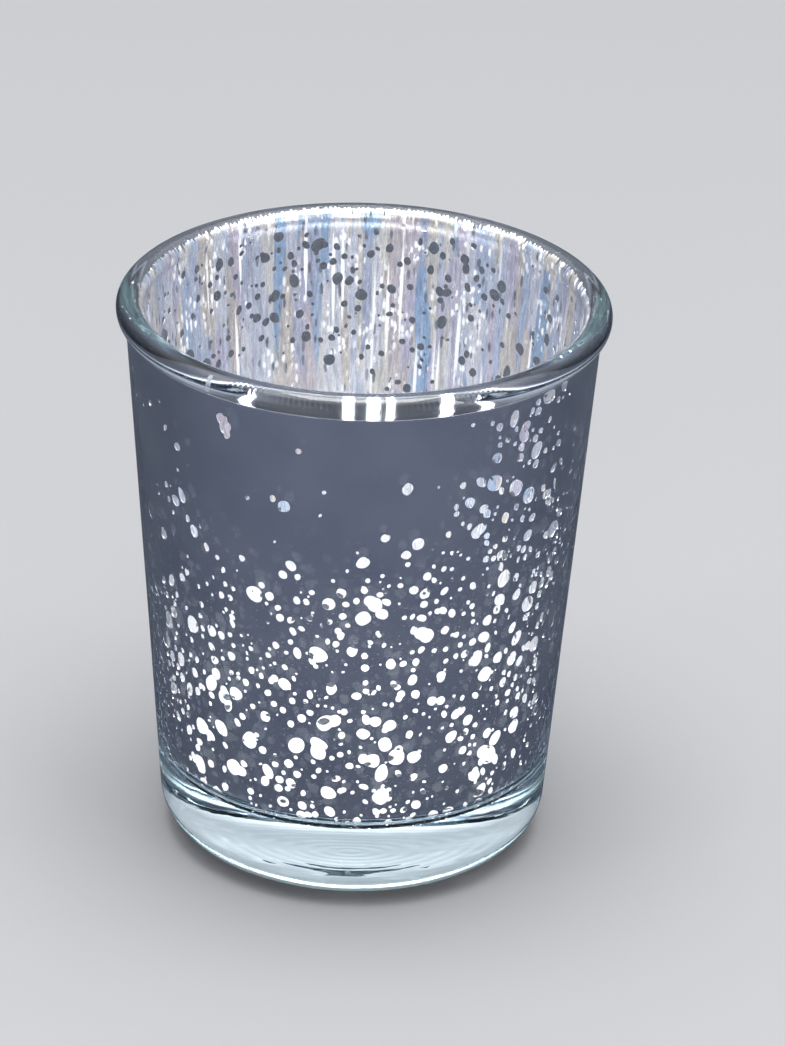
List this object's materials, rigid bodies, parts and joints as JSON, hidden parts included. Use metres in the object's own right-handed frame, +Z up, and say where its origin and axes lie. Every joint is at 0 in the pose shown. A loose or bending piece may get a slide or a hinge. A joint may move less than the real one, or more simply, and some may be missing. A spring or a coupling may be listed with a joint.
{
  "type": "tealight holder",
  "caption": "Round glass cup for a tealight, thick clear base, round rim bead, inside silvered with a speckled mirror film under a clear coat.",
  "frame": {"origin": "centre of the ring that the cup stands on, in the plane of the table", "axes": "+Z up along the cup's axis; the cup is round, so +X and +Y are free"},
  "size_m": [0.056, 0.056, 0.0664],
  "materials": {
    "clear_glass": "clear pressed soda-lime glass, fire-polished, faint blue-green tint in the thick base",
    "speckled_silver": "silver mirror film with droplet-shaped gaps, bright against the glass and streaky on the inside",
    "clear_lacquer": "thin clear gloss coat, slightly wavy"
  },
  "bodies": {
    "root": {"glass_cup": "clear_glass", "mirror_film": "speckled_silver", "clear_topcoat": "clear_lacquer"}
  },
  "joints": []
}
